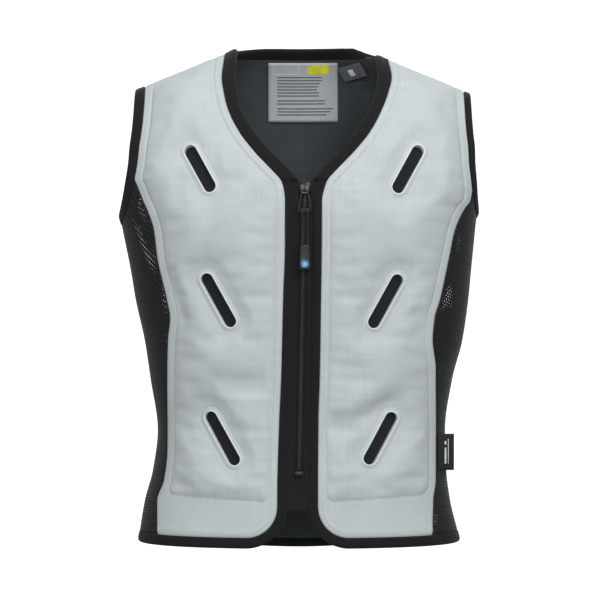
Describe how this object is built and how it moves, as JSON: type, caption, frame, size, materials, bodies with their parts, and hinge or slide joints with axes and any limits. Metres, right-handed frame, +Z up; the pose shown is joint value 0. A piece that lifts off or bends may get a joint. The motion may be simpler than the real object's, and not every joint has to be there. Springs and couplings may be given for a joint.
{
  "type": "cooling vest",
  "caption": "Zip-front sleeveless cooling vest with padded grey panels, slotted windows, side mesh and bound edges.",
  "frame": {"origin": "midway between the neck ends of the two shoulders, where the vest sits on its wearer", "axes": "+Z up, the front faces -Y, +X to the right as seen from the front; left and right in node names are as seen from the front"},
  "size_m": [0.4305, 0.2453, 0.6133],
  "materials": {
    "grey_cloth": "fine plain weave, soft padded",
    "black_binding": "matt knitted tape",
    "black_lining": "fine dark weave",
    "dark_lining": "dark grey woven lining",
    "black_mesh": "open knitted mesh",
    "zip_tape": "herringbone woven tape",
    "zip_plastic": "moulded",
    "dark_metal": "black lacquered",
    "cord": "braided",
    "grip_rubber": "matt moulded",
    "blue_button": "smooth",
    "neck_label": "satin woven label, plain",
    "size_tag": "heather grey tape, plain",
    "side_tag": "satin woven tape, plain"
  },
  "bodies": {
    "vest": {"front_panel_left": "grey_cloth", "front_panel_right": "grey_cloth", "back_panel": "grey_cloth", "front_lining_left": "black_lining", "front_lining_right": "black_lining", "back_lining": "dark_lining", "side_mesh_left": "black_mesh", "side_mesh_right": "black_mesh", "front_binding_left": "black_binding", "front_binding_right": "black_binding", "armhole_binding_left": "black_binding", "armhole_binding_right": "black_binding", "neck_binding": "black_binding", "hem_binding": "black_binding", "zip_tape_left": "zip_tape", "zip_tape_right": "zip_tape", "zip_chain": "zip_plastic", "zip_bottom_stop": "zip_plastic", "zip_slider": "dark_metal", "neck_label": "neck_label", "size_tag": "size_tag", "side_tag": "side_tag"},
    "pull": {"pull_link": "dark_metal", "pull_cord": "cord", "pull_grip": "grip_rubber", "pull_button": "blue_button"}
  },
  "joints": [
    {"name": "pull_hinge", "type": "hinge", "parent": "vest", "child": "pull", "pos_m": [0.0067, -0.12091, -0.16005], "axis": [-1, 0, 0], "range_deg": [0, 140]}
  ]
}
